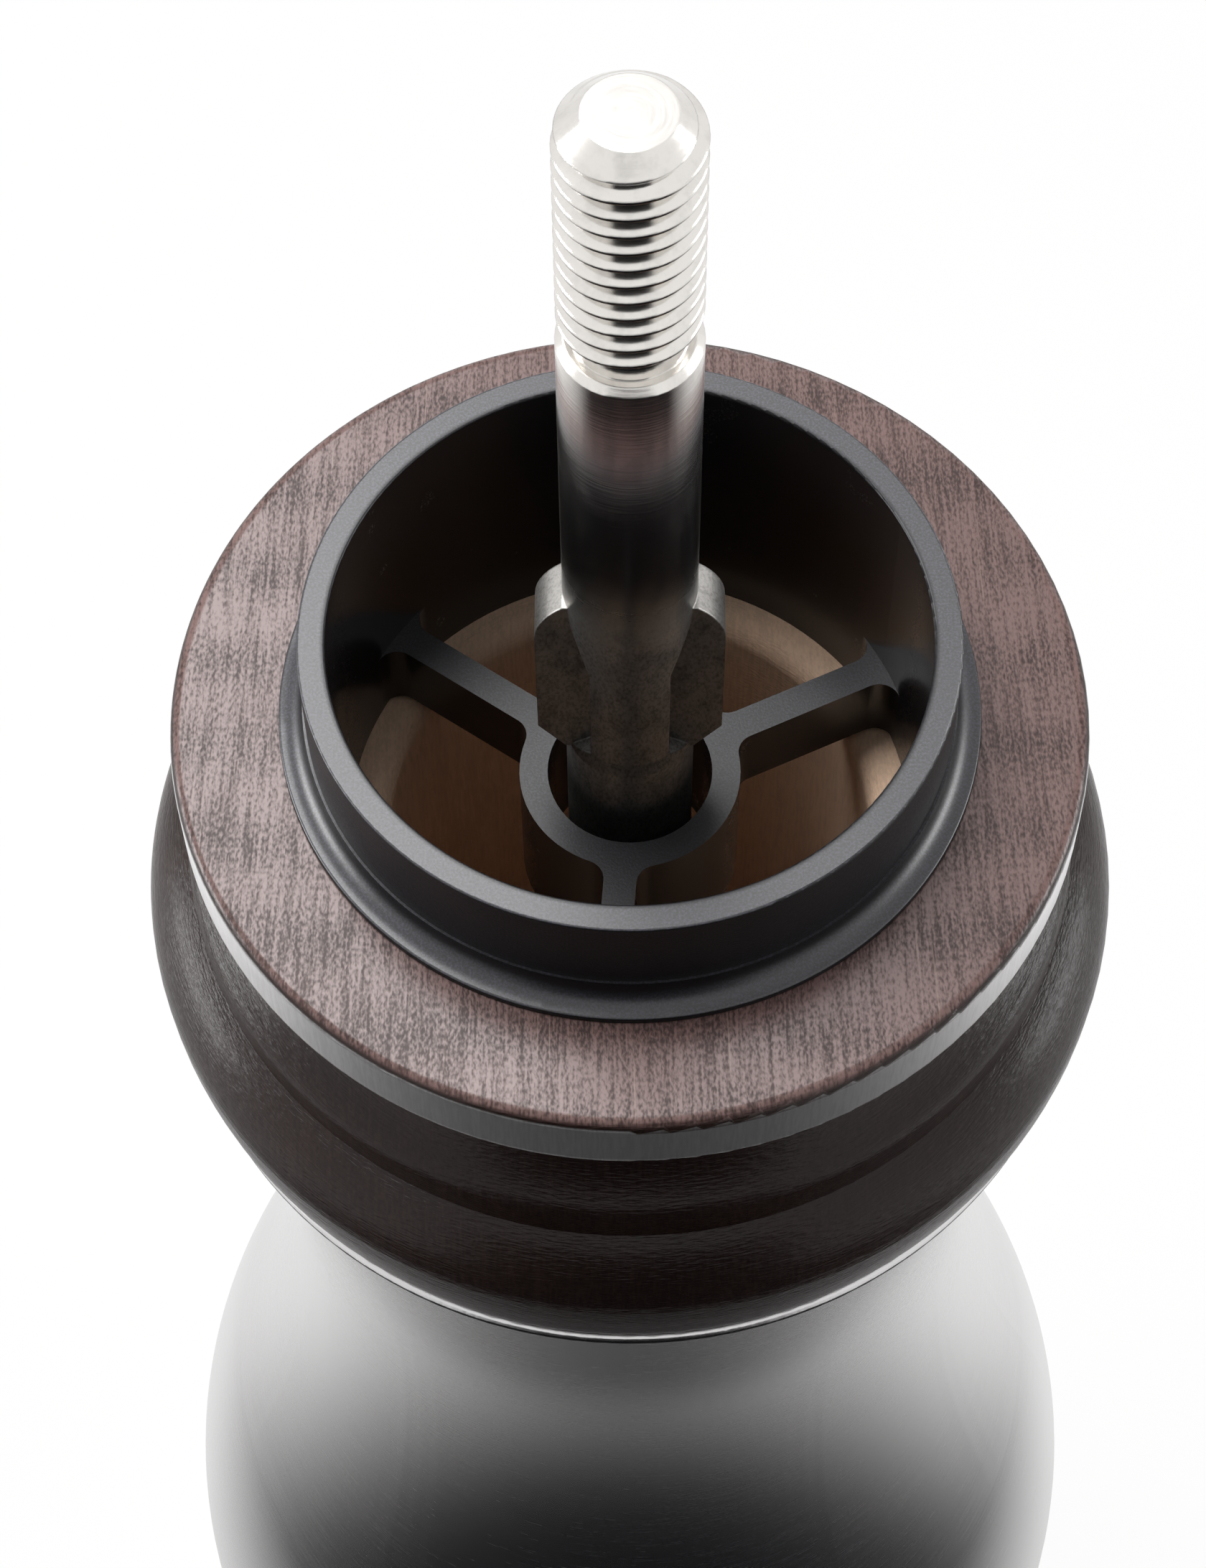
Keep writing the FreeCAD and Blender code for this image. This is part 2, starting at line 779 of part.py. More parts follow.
def make_drive_shaft():
    body = new_body("drive_shaft")
    clip_top = clip_foot + size.clip_thickness
    groove_radius = size.shaft_radius - size.clip_depth
    ridge_radius = size.shaft_radius - size.ridge_drop
    relief_top = shaft_top - size.thread_length
    relief_foot = relief_top - size.relief_width
    relief_radius = size.shaft_radius - size.relief_depth
    section = outline(
        body, "section", "XZ_Plane", (0, shaft_foot),
        line(size.shaft_radius - size.stub_edge, shaft_foot),
        line(size.shaft_radius, shaft_foot + size.stub_edge),
        line(size.shaft_radius, clip_foot - size.clip_play),
        line(groove_radius, clip_foot - size.clip_play),
        line(groove_radius, clip_top + size.clip_play),
        line(size.shaft_radius, clip_top + size.clip_play),
        line(size.shaft_radius, pinch_low),
        line(ridge_radius, pinch_low + size.pinch_foot),
        line(ridge_radius, pinch_high - size.pinch_taper),
        line(size.shaft_radius, pinch_high),
        line(size.shaft_radius, relief_foot - size.collar_chamfer),
        line(size.shaft_radius - size.collar_chamfer, relief_foot),
        line(relief_radius, relief_foot),
        line(relief_radius, relief_top),
        line(thread_radius, relief_top + size.thread_depth),
        line(thread_radius, shaft_top - size.end_chamfer),
        line(thread_radius - size.end_chamfer, shaft_top),
        line(0, shaft_top),
    )
    turned(body, section, "bar")
    press_wings(body)
    cut_flats(body)
    cut_thread(body, relief_foot)
    return body


def press_wings(body):
    """Pinch the sides of the bar and press out two wings."""
    beyond = size.wing_half_width * 2
    pinch = outline(
        body, "pinch_sketch", "XZ_Plane", (size.shaft_radius, pinch_low),
        line(beyond, pinch_low),
        line(beyond, pinch_high),
        line(size.shaft_radius, pinch_high),
        line(size.ridge_half_width, pinch_high - size.pinch_taper),
        line(size.ridge_half_width, pinch_low + size.pinch_foot),
    )
    pinched_side = pocketed(body, pinch, "pinched_side", beyond, symmetric=True)
    repeated(body, [pinched_side], "pinched_sides", 2)
    wing_sketch = outline(
        body, "wing_sketch", "XZ_Plane", (0, pinch_low),
        line(size.shaft_radius, pinch_low),
        line(size.wing_half_width, wing_low),
        line(size.wing_half_width, wing_high),
        bend_left(size.shaft_radius, pinch_high, size.wing_round),
        line(0, pinch_high),
    )
    wing = padded(body, wing_sketch, "wing", size.wing_thickness, symmetric=True)
    repeated(body, [wing], "wings", 2)


def cut_flats(body):
    """Two flats that turn the burr cone."""
    wide = size.shaft_radius * 2
    flat_sketch = outline(
        body, "flat_sketch", "XY_Plane", (-wide, size.flat_half_width),
        line(wide, size.flat_half_width), line(wide, wide), line(-wide, wide),
        lift=shaft_foot,
    )
    flat = pocketed(body, flat_sketch, "flat", cone_seat - shaft_foot)
    repeated(body, [flat], "flats", 2)


def cut_thread(body, start):
    """The thread groove, from the relief groove to past the end of the shaft."""
    outside = thread_radius + size.thread_relief
    root_radius = thread_radius - size.thread_depth
    root_half = size.thread_root_flat / 2
    mouth_half = size.thread_pitch / 2 - size.thread_relief
    middle = start + size.relief_width / 2
    groove = outline(
        body, "thread_sketch", "XZ_Plane", (outside, middle - mouth_half),
        line(outside, middle + mouth_half),
        line(root_radius, middle + root_half),
        line(root_radius, middle - root_half),
    )
    helix = body.newObject("PartDesign::SubtractiveHelix", "thread")
    helix.Profile = groove
    helix.ReferenceAxis = (groove, ["V_Axis"])
    helix.Mode = "pitch-height-angle"
    helix.setExpression("Pitch", size.thread_pitch.text)
    helix.setExpression("Height", (size.thread_length + size.thread_pitch).text)
    doc.recompute()


def make_retaining_clip():
    inner = size.shaft_radius - size.clip_depth + size.clip_play
    outer = inner + size.clip_width
    body = ring_of("retaining_clip", inner, outer, clip_foot, clip_foot + size.clip_thickness)
    half = size.clip_gap / 2
    gap = outline(
        body, "gap_sketch", "XY_Plane", (0, -half),
        line(outer * 2, -half), line(outer * 2, half), line(0, half),
        lift=clip_foot,
    )
    pocketed(body, gap, "gap", size.clip_thickness)
    return body


# Bearing bridge


def make_bearing_bridge():
    body = ring_of("bearing_bridge", size.hopper_radius, size.ring_radius, ring_top, bridge_top)
    half = size.arm_width / 2
    hub_bore = bush_radius + size.bush_fit
    middle_of_hub = (hub_bore + size.bridge_hub_radius) / 2
    middle_of_rim = (size.hopper_radius + size.ring_radius) / 2
    arm_sketch = outline(
        body, "arm_sketch", "XY_Plane", (middle_of_hub, -half),
        line(middle_of_rim, -half), line(middle_of_rim, half), line(middle_of_hub, half),
        lift=ring_top,
    )
    arm = padded(body, arm_sketch, "arm", size.bridge_thickness)
    repeated(body, [arm], "arms", size.arm_count)
    hub_sketch = outline(
        body, "hub_sketch", "XZ_Plane", (hub_bore, bridge_hub_foot),
        line(size.bridge_hub_radius, bridge_hub_foot),
        line(size.bridge_hub_radius, bridge_hub_top),
        line(hub_bore, bridge_hub_top),
    )
    turned(body, hub_sketch, "hub")
    return body


def make_bridge_bush():
    body = new_body("bridge_bush")
    section = outline(
        body, "section", "XZ_Plane", (bush_bore, spring_top),
        line(size.bridge_hub_radius, spring_top),
        line(size.bridge_hub_radius, bridge_hub_foot),
        line(bush_radius, bridge_hub_foot),
        line(bush_radius, bridge_hub_top),
        line(bush_bore, bridge_hub_top),
    )
    turned(body, section, "bush")
    return body


def make_thrust_washer():
    bore = size.shaft_radius + size.washer_play
    return ring_of("thrust_washer", bore, size.bridge_hub_radius, bridge_hub_top, clip_foot)


# Burrs


def cut_key_seat(body):
    """A half-round seat where ring and wood meet, turned half a step from the screws."""
    across = size.ring_radius / 2
    up = size.ring_radius * (ROOT_THREE / 2)
    sketch = disc(body, "key_sketch", "XY_Plane", across, up, size.key_radius + size.key_fit, burr_floor)
    return pocketed(body, sketch, "key_seat", size.key_length)


def make_burr_keys():
    body = new_body("burr_keys")
    across = size.ring_radius / 2
    up = size.ring_radius * (ROOT_THREE / 2)
    sketch = disc(body, "key_sketch", "XY_Plane", across, up, size.key_radius, burr_floor)
    key = padded(body, sketch, "key", size.key_length)
    repeated(body, [key], "keys", size.key_count)
    return body


def make_outer_burr():
    body = new_body("outer_burr")
    section = outline(
        body, "section", "XZ_Plane", (ring_exit, burr_floor),
        line(size.ring_radius, burr_floor),
        line(size.ring_radius, ring_top),
        line(ring_mouth, ring_top),
        line(ring_throat, knee_level),
    )
    turned(body, section, "ring")
    half = size.ring_tooth_width / 2
    tooth_sketch = outline(
        body, "tooth_sketch", "XY_Plane", (ring_exit + size.ring_tooth_depth, 0),
        line(ring_throat, half), line(ring_throat / 2, 0), line(ring_throat, -half),
        lift=burr_floor,
    )
    tooth = pocketed(body, tooth_sketch, "tooth", size.ring_height)
    repeated(body, [tooth], "teeth", size.ring_teeth)
    key_seat = cut_key_seat(body)
    repeated(body, [key_seat], "key_seats", size.key_count)
    return body


def make_inner_burr():
    body = new_body("inner_burr")
    section = outline(
        body, "section", "XZ_Plane", (0, cone_foot),
        line(size.cone_radius, cone_foot),
        line(size.knee_radius, knee_level),
        line(size.cone_top_radius, cone_top),
        line(spring_bore, cone_top),
        line(spring_bore, cone_seat),
        line(0, cone_seat),
    )
    turned(body, section, "cone")
    half = size.cone_tooth_width / 2
    outside = size.cone_radius * 2
    tooth_sketch = outline(
        body, "tooth_sketch", "XY_Plane", (size.cone_radius - size.cone_tooth_depth, 0),
        line(size.cone_radius, -half), line(outside, 0), line(size.cone_radius, half),
        lift=cone_foot,
    )
    tooth = pocketed(body, tooth_sketch, "tooth", knee_level - cone_foot)
    repeated(body, [tooth], "teeth", size.cone_teeth)
    breaker = cut_breaker(body)
    repeated(body, [breaker], "breakers", size.breaker_count)
    bore = size.shaft_radius + size.running_fit
    flat = size.flat_half_width + size.running_fit
    corner = root(bore * bore - flat * flat)
    bore_sketch = outline(
        body, "bore_sketch", "XY_Plane", (-corner, flat),
        bend_left(-corner, -flat, bore), line(corner, -flat), bend_left(corner, flat, bore),
        lift=cone_foot,
    )
    pocketed(body, bore_sketch, "bore", cone_seat - cone_foot)
    return body


def breaker_corners(radius):
    """The four corners of a breaker groove's section at a radius of the cone."""
    half = size.breaker_width / 2
    start = (radius - size.breaker_depth, 0)
    return start, line(radius, -half), line(radius + size.breaker_width, 0), line(radius, half)


def cut_breaker(body):
    """One slanted groove that draws the beans down."""
    low = outline(body, "breaker_low", "XY_Plane", *breaker_corners(size.knee_radius), lift=knee_level)
    high = outline(
        body, "breaker_high", "XY_Plane", *breaker_corners(size.cone_top_radius), lift=cone_top,
        turn=size.breaker_turn,
    )
    before = body.Shape.Volume
    groove = body.newObject("PartDesign::SubtractiveLoft", "breaker")
    groove.Profile = low
    groove.Sections = [high]
    groove.Ruled = True
    doc.recompute()
    if body.Shape.Volume >= before:
        raise RuntimeError("inner_burr: breaker cuts nothing")
    return groove


# Spring and lock nut


def make_spring_seat():
    body = new_body("spring_seat")
    bore = size.shaft_radius + size.running_fit
    collar = spring_radius - size.spring_wire / 2 - size.clip_play
    outer = spring_bore - size.spring_bore_play / 2
    section = outline(
        body, "section", "XZ_Plane", (bore, cone_seat),
        line(outer, cone_seat),
        line(outer, spring_foot),
        line(collar, spring_foot),
        line(collar, spring_foot + size.seat_collar),
        line(bore, spring_foot + size.seat_collar),
    )
    turned(body, section, "seat")
    return body


def make_burr_spring():
    body = new_body("burr_spring")
    wire_half = size.spring_wire / 2
    climb = spring_top - spring_foot - size.spring_wire
    section = disc(body, "section", "XZ_Plane", spring_radius, spring_foot + wire_half, wire_half)
    helix = body.newObject("PartDesign::AdditiveHelix", "coil")
    helix.Profile = section
    helix.ReferenceAxis = (section, ["V_Axis"])
    helix.Mode = "height-turns-angle"
    helix.setExpression("Height", climb.text)
    helix.setExpression("Turns", size.spring_turns.text)
    doc.recompute()
    return body


def make_lock_washer():
    bore = size.shaft_radius + size.running_fit
    return ring_of("lock_washer", bore, size.lock_washer_radius, nut_top, cone_foot)


def make_burr_nut():
    body = new_body("burr_nut")
    flat = size.nut_width / 2
    corner = size.nut_width / ROOT_THREE
    hexagon = outline(
        body, "hexagon", "XY_Plane", (corner, 0),
        line(corner / 2, flat), line(-(corner / 2), flat), line(-corner, 0),
        line(-(corner / 2), -flat), line(corner / 2, -flat),
        lift=nut_foot,
    )
    padded(body, hexagon, "block", size.nut_height)
    bore = disc(body, "bore_sketch", "XY_Plane", 0, 0, size.shaft_radius + size.nut_fit, nut_foot)
    pocketed(body, bore, "bore", size.nut_height)
    return body


MAKERS = [
    make_cup_shell, make_cup_rim, make_foot_pad,
    make_burr_carrier, make_carrier_screws, make_cup_seal,
    make_wood_body, make_filler_insert, make_steel_jacket,
    make_bearing_bridge, make_bridge_bush, make_thrust_washer,
    make_outer_burr, make_burr_keys,
    make_drive_shaft, make_retaining_clip, make_inner_burr,
    make_spring_seat, make_burr_spring, make_lock_washer, make_burr_nut,
]


def main():
    pieces = [make() for make in MAKERS]
    doc.recompute()
    for item in doc.Objects:
        if "Invalid" in item.State or "Error" in item.State:
            raise RuntimeError(f"{item.Label} is not sound: {item.State}")
    for piece in pieces:
        if piece.Shape.isNull() or not piece.Shape.isValid():
            raise RuntimeError(f"{piece.Label} has no sound shape")
    os.makedirs("parts", exist_ok=True)
    for piece in pieces:
        piece.Shape.exportStep(f"parts/{piece.Label}.step")
        print(piece.Label, len(piece.Shape.Solids), round(piece.Shape.Volume, 2))


main()
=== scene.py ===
import json
import math

import bpy
from bpy.props import FloatProperty, FloatVectorProperty, PointerProperty
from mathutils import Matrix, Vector


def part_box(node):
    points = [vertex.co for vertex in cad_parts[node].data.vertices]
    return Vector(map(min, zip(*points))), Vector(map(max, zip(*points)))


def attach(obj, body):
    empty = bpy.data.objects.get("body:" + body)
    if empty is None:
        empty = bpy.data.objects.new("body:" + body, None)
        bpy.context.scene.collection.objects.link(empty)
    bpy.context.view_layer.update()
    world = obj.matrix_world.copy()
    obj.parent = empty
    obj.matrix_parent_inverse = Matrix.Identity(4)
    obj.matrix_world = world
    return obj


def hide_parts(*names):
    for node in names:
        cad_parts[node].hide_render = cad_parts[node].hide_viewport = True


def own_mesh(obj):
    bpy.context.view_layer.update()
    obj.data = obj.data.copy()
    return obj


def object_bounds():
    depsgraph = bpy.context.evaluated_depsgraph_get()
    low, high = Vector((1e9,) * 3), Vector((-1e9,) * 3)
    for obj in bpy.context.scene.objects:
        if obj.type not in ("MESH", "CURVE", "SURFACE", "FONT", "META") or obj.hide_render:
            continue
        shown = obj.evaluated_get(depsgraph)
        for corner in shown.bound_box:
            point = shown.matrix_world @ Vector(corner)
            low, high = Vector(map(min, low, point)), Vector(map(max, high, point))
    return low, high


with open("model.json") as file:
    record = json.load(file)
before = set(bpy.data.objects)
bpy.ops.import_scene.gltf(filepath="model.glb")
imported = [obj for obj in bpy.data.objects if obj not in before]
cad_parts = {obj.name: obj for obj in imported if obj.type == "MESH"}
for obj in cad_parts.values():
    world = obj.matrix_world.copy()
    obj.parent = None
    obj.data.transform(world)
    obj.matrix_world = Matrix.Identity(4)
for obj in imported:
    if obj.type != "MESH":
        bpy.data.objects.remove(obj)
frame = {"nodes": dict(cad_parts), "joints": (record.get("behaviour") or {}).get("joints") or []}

bl_info = {
    "name": "Hand Coffee Mill",
    "version": (1, 0, 0),
    "blender": (4, 5, 0),
    "location": "3D View > Sidebar > Mill",
    "description": "Gives the hand coffee mill its finishes and sets up a plain studio around it",
    "category": "Object",
}

CAD_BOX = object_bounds()
FLOOR_LEVEL = CAD_BOX[0].z
INSERT_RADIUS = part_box("filler_insert")[1].x
WOOD_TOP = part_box("wood_body")[1].z
MILLIMETRE = 0.001
NOISE_MEAN = 0.5
WHITE = (1.0, 1.0, 1.0, 1.0)


def in_millimetres(metres):
    return metres / MILLIMETRE


# Settings that a user would change


def colour(name, description, red, green, blue):
    return FloatVectorProperty(
        name=name, description=description, subtype="COLOR", size=3, min=0, max=1, default=(red, green, blue)
    )


def length(name, description, metres, least=0.0):
    return FloatProperty(
        name=name, description=description, subtype="DISTANCE", unit="LENGTH", precision=5, min=least,
        default=metres,
    )


def share(name, description, amount):
    return FloatProperty(
        name=name, description=description, subtype="FACTOR", min=0, max=1, default=amount
    )


def power(name, description, watts):
    return FloatProperty(name=name, description=description, unit="POWER", min=0, default=watts)


class WoodSettings(bpy.types.PropertyGroup):
    """Stained and lacquered beech."""

    # Painted light: the end grain on top is coloured far lighter than the long grain, for the light that
    # falls on the top; its pores and rays are the wood's own.
    end_stain_painted_lit: colour("End grain", "Colour of the stained end grain between its pores", 0.186, 0.106, 0.096)
    # Painted shade: the long grain round the sides is coloured near black, for the shade that falls on them.
    side_stain_painted_shaded: colour("Long grain", "Colour of the stained wood round the sides", 0.0150, 0.0080, 0.0070)
    # Painted reflection: the lacquered edge of the top disc is coloured pale and, with the edge sheen below,
    # made metal-like, so that it shows as bright as the floor mirrored in it.
    edge_painted_reflection: colour("Disc edge", "Colour of the pale edge of the top disc", 0.940, 0.922, 0.926)
    edge_sheen: share("Edge sheen", "How much the edge of the top disc shines like metal", 0.9)
    pores: colour("Pores", "Colour of the stain where it gathers in pores and late wood", 0.034, 0.019, 0.016)
    rays: colour("Rays", "Colour of the pale medullary rays", 0.300, 0.205, 0.165)
    bare: colour("Bare wood", "Colour of the unstained wood inside the bore", 0.84, 0.59, 0.42)
    disc_height: length("Disc height", "Height of the top disc's edge, with its roundings", 0.0036)
    ring_width: length("Ring width", "Distance between growth rings", 0.0048)
    pith_distance: length("Pith distance", "How far behind the neck the middle of the tree was", 0.40)
    pith_side: length("Pith side", "How far to the right the middle of the tree was", -0.006, least=-1.0)


class PlasticSettings(bpy.types.PropertyGroup):
    """Black moulding with a fine sparked texture."""

    black: colour("Black", "Colour of the moulding", 0.0040, 0.0040, 0.0050)
    # Painted light: the paler grain that flat faces take, for the light that falls on them.
    painted_light_on_flats: colour("Worn grain", "Colour of the tops of the moulded grain", 0.042, 0.042, 0.060)
    grain: length("Grain", "Size of the moulded grain", 0.00011)


class SteelSettings(bpy.types.PropertyGroup):
    """Steels and other metals."""

    jacket: colour("Jacket", "Satin stainless sheet of the jacket and cup", 0.66, 0.65, 0.65)
    shaft: colour("Shaft", "Bright machined steel of the shaft", 0.78, 0.755, 0.72)
    burr: colour("Burrs", "Hardened steel of the burrs", 0.30, 0.30, 0.315)
    temper: colour("Temper", "Brown tint that hardening leaves on the burrs", 0.26, 0.215, 0.18)
    zinc: colour("Zinc plate", "Plating of screws, keys, nut, washers and spring seat", 0.60, 0.61, 0.62)
    spring: colour("Spring wire", "Drawn wire of the spring and clip", 0.42, 0.40, 0.38)
    cast: colour("Cast alloy", "Die cast alloy of the bearing bridge", 0.56, 0.56, 0.57)
    bronze: colour("Bronze", "Sintered bronze of the bush", 0.55, 0.34, 0.16)
    pressed_top: length("Pressed length", "Height up to which the shaft keeps its dull pressed skin", 0.152)
    brushing: length("Brushing", "Distance between brush marks on the sheet", 0.00012)
    turning: length("Turning marks", "Distance between the tool marks on the shaft", 0.00016)


class RubberSettings(bpy.types.PropertyGroup):
    """Foot and seal."""

    black: colour("Rubber", "Colour of the foot and the seal", 0.020, 0.020, 0.020)
    dust: colour("Dust", "Colour of the bloom on the rubber", 0.085, 0.083, 0.080)


class StudioSettings(bpy.types.PropertyGroup):
    """Camera, floor and lights."""

    camera_place: FloatVectorProperty(
        name="Camera", description="Place of the camera", subtype="TRANSLATION", unit="LENGTH", size=3,
        default=(0.0, -0.0851, 0.2835),
    )
    camera_tilt: FloatProperty(
        name="Tilt", description="Angle between the view and straight down", subtype="ANGLE", unit="ROTATION",
        default=math.radians(29.43),
    )
    lens: FloatProperty(name="Lens", description="Focal length in millimetres", unit="CAMERA", default=82.4)
    framing: FloatProperty(
        name="Framing", description="How far the picture is moved sideways, as a share of its height",
        min=-1, max=1, default=-0.0172,
    )
    floor: colour("Floor", "Colour of the floor", 0.85, 0.85, 0.85)
    floor_white: share("White floor", "How much of the floor's look is plain white and not its shading", 0.93)
    world_level: share("Surroundings", "Brightness of the light that the room gives", 0.17)
    top_level: power("Top light", "Power of the light above", 4.4)
    side_level: power("Side light", "Power of the light on the left", 2.6)
    fill_level: power("Fill light", "Power of the light on the right", 1.8)
    # Painted shadow: a dark sheet seen only in reflections stands in for the shade in front of the mill; this
    # colour and the settings below shape it.
    flag: colour("Flag", "Colour of the dark cloth that the steel mirrors", 0.006, 0.006, 0.007)
    painted_shadow_shift: length("Flag shift", "How far behind the mill the centre of the cloth's edge lies", 0.099)
    painted_shadow_opening: length("Flag opening", "Radius of the curved edge of the cloth", 0.129)
    painted_shadow_soft: length("Flag softness", "Half the width over which the cloth's edge fades out", 0.037)
    painted_shadow_width: length("Flag width", "Half the width of the cloth beside the mill", 0.125)
    painted_shadow_spread: FloatProperty(
        name="Flag spread", description="How fast the cloth widens towards the front", min=0, default=0.35
    )


# Nodes


class Signal:
    """A socket that varies over a surface. Arithmetic on it adds Math nodes."""

    def __init__(self, finish, socket):
        self.finish = finish
        self.socket = socket

    def __add__(self, other):
        return self.finish.function("ADD", self, other)

    def __sub__(self, other):
        return self.finish.function("SUBTRACT", self, other)

    def __rsub__(self, other):
        return self.finish.function("SUBTRACT", other, self)

    def __mul__(self, other):
        return self.finish.function("MULTIPLY", self, other)

    def __truediv__(self, other):
        return self.finish.function("DIVIDE", self, other)

    def __rtruediv__(self, other):
        return self.finish.function("DIVIDE", other, self)

    def __pow__(self, other):
        return self.finish.function("POWER", self, other)

    def __rpow__(self, other):
        return self.finish.function("POWER", other, self)

    __radd__ = __add__
    __rmul__ = __mul__


class Finish:
    """A node tree under construction, for a material or the surroundings."""

    def __init__(self, owner):
        self.owner = owner
        owner.use_nodes = True
        self.tree = owner.node_tree
        self.tree.nodes.clear()

    def add(self, kind, settings=None, sockets=None, output=0):
        """One node, with its settings first and then the values or links of its sockets."""
        node = self.tree.nodes.new(kind)
        for name, value in (settings or {}).items():
            setattr(node, name, value)
        for name, value in (sockets or {}).items():
            if isinstance(value, Signal):
                self.tree.links.new(value.socket, node.inputs[name])
            else:
                node.inputs[name].default_value = value
        return None if output is None else Signal(self, node.outputs[output])

    def place(self):
        """Place on the piece in millimetres."""
        point = self.add("ShaderNodeTexCoord", output="Object")
        return self.add(
            "ShaderNodeVectorMath", {"operation": "SCALE"}, {0: point, "Scale": in_millimetres(1.0)}
        )

    def facing_up(self):
        """The upward part of the piece's own normal, from -1 to 1."""
        normal = self.add("ShaderNodeTexCoord", output="Normal")
        return self.split(normal)[2]

    def split(self, vector):
        first = self.add("ShaderNodeSeparateXYZ", sockets={0: vector})
        return [Signal(self, socket) for socket in first.socket.node.outputs]

    def function(self, operation, first, second=0.0):
        return self.add("ShaderNodeMath", {"operation": operation}, {0: first, 1: second})

    def radius(self, x, y):
        return (x * x + y * y) ** 0.5

    def angle(self, x, y):
        return self.function("ARCTAN2", y, x)

    def noise(self, vector, scale=1.0, detail=2.0, roughness=0.5):
        return self.add("ShaderNodeTexNoise", sockets={
            "Vector": vector,
            "Scale": scale,
            "Detail": detail,
            "Roughness": roughness,
        })

    def streaks(self, directions, counts, detail=2.0, roughness=0.5):
        """Noise that is stretched by its own count per unit in each of three directions."""
        x, y, z = (direction * count for direction, count in zip(directions, counts))
        stretched = self.add("ShaderNodeCombineXYZ", sockets={0: x, 1: y, 2: z})
        return self.noise(stretched, 1.0, detail, roughness)

    def ramp(self, value, low, high):
        """A smooth rise from 0 at low to 1 at high."""
        return self.add(
            "ShaderNodeMapRange", {"interpolation_type": "SMOOTHSTEP"},
            {"Value": value, "From Min": low, "From Max": high},
        )

    def mixed(self, amount, first, second):
        """A colour between two colours."""
        return self.add(
            "ShaderNodeMix", {"data_type": "RGBA"}, {0: amount, 6: opaque(first), 7: opaque(second)}, 2
        )

    def bump(self, height, depth, normal=None):
        """A normal from a height between 0 and 1, with its depth in millimetres."""
        sockets = {"Height": height, "Distance": depth * MILLIMETRE}
        if normal is not None:
            sockets["Normal"] = normal
        return self.add("ShaderNodeBump", sockets=sockets)

    def surface(self, sockets):
        shader = self.add("ShaderNodeBsdfPrincipled", sockets=sockets)
        return self.output(shader)

    def output(self, shader):
        self.add("ShaderNodeOutputMaterial", sockets={"Surface": shader}, output=None)
        return self.owner


def opaque(tint):
    """A colour with full alpha; a socket is left as it is."""
    return tint if isinstance(tint, Signal) else (*tint, 1.0)


def darkened(tint, amount):
    return [amount * part for part in tint]


def new_finish(name):
    return Finish(bpy.data.materials.new(name))


# Wood


def wood_zones(finish, settings, place):
    """The end grain on top, the edge of the top disc and the bore: 1 where each is, 0 elsewhere."""
    x, y, z = finish.split(place)
    facing = finish.facing_up()
    fade = 0.3
    rounding = 0.5
    disc_top = in_millimetres(WOOD_TOP)
    level = finish.ramp(facing, 0.55, 0.92)
    # The top's zone, where the end grain is also painted lighter for the light that falls on it.
    end_grain_painted_lit = level * finish.ramp(z, disc_top - rounding, disc_top - rounding / 2)

    disc_foot = in_millimetres(WOOD_TOP - settings.disc_height)
    upright = 1.0 - finish.ramp(facing, 0.1, 0.5)
    # The disc edge's zone, which takes a painted reflection.
    disc_edge = finish.ramp(z, disc_foot, disc_foot + fade) * upright

    flange_cover = 1.1
    bore = in_millimetres(INSERT_RADIUS) - flange_cover
    inside = 1.0 - finish.ramp(finish.radius(x, y), bore - fade, bore)
    return end_grain_painted_lit, disc_edge, inside


def wood_figure(finish, settings, place):
    """Late wood, pores and rays of a tree that stood behind the neck, each from 0 to 1."""
    x, y, z = finish.split(place)
    pith_distance = in_millimetres(settings.pith_distance)
    across = x - in_millimetres(settings.pith_side)
    along = pith_distance - y
    from_pith = finish.radius(across, along)
    round_pith = finish.function("ARCTAN2", across, along) * pith_distance
    in_tree = (round_pith, from_pith, z)

    sways_per_millimetre = (0.08, 0.08, 0.012)
    sway_reach = 4.0
    sway = finish.streaks((x, y, z), sways_per_millimetre) * sway_reach
    growth = (from_pith + sway) / in_millimetres(settings.ring_width)
    late_wood = finish.function("SINE", growth * 2 * math.pi) * 0.5 + 0.5

    flecks_per_millimetre = (8.5, 3.8, 0.8)
    fibres_per_millimetre = (6.0, 0.32, 0.16)
    rays_per_millimetre = (5.0, 0.09, 0.3)
    clouds_per_millimetre = 0.10
    fleck = finish.streaks(in_tree, flecks_per_millimetre, detail=1.0)
    fibre = finish.streaks(in_tree, fibres_per_millimetre, detail=1.0)
    cloud = finish.noise(place, clouds_per_millimetre)
    density = late_wood * 0.08 + (fibre - NOISE_MEAN) * 0.7 + (cloud - NOISE_MEAN) * 0.4
    pore = finish.ramp(fleck + density, 0.30, 0.85)
    ray = finish.ramp(finish.streaks(in_tree, rays_per_millimetre), 0.66, 0.74)
    return late_wood, pore, ray


def wood_tint(finish, settings, zones, figure):
    """Stain that gathers in the pores, painted light on the top, painted shade round the sides, a painted
    reflection on the disc's edge and bare wood in the bore.
    """
    end_grain_painted_lit, disc_edge, inside = zones
    late_wood, pore, ray = figure
    top_pores = pore * (0.80 + 0.15 * late_wood)
    # Painted light: the top takes the lighter end-grain colour between its pores.
    top = finish.mixed(top_pores, settings.end_stain_painted_lit, settings.pores)
    top_rays = ray * 0.45
    top = finish.mixed(top_rays, top, settings.rays)
    side_pores = pore * (0.5 - disc_edge * 0.38)
    # Painted shade round the sides from the near-black long-grain colour, and a painted reflection on the
    # disc's edge from its pale colour.
    side = finish.mixed(disc_edge, settings.side_stain_painted_shaded, settings.edge_painted_reflection)
    side = finish.mixed(side_pores, side, settings.pores)
    stained = finish.mixed(end_grain_painted_lit, side, top)
    bare_pores = pore * 0.15
    bare = finish.mixed(bare_pores, settings.bare, settings.side_stain_painted_shaded)
    return finish.mixed(inside, stained, bare)


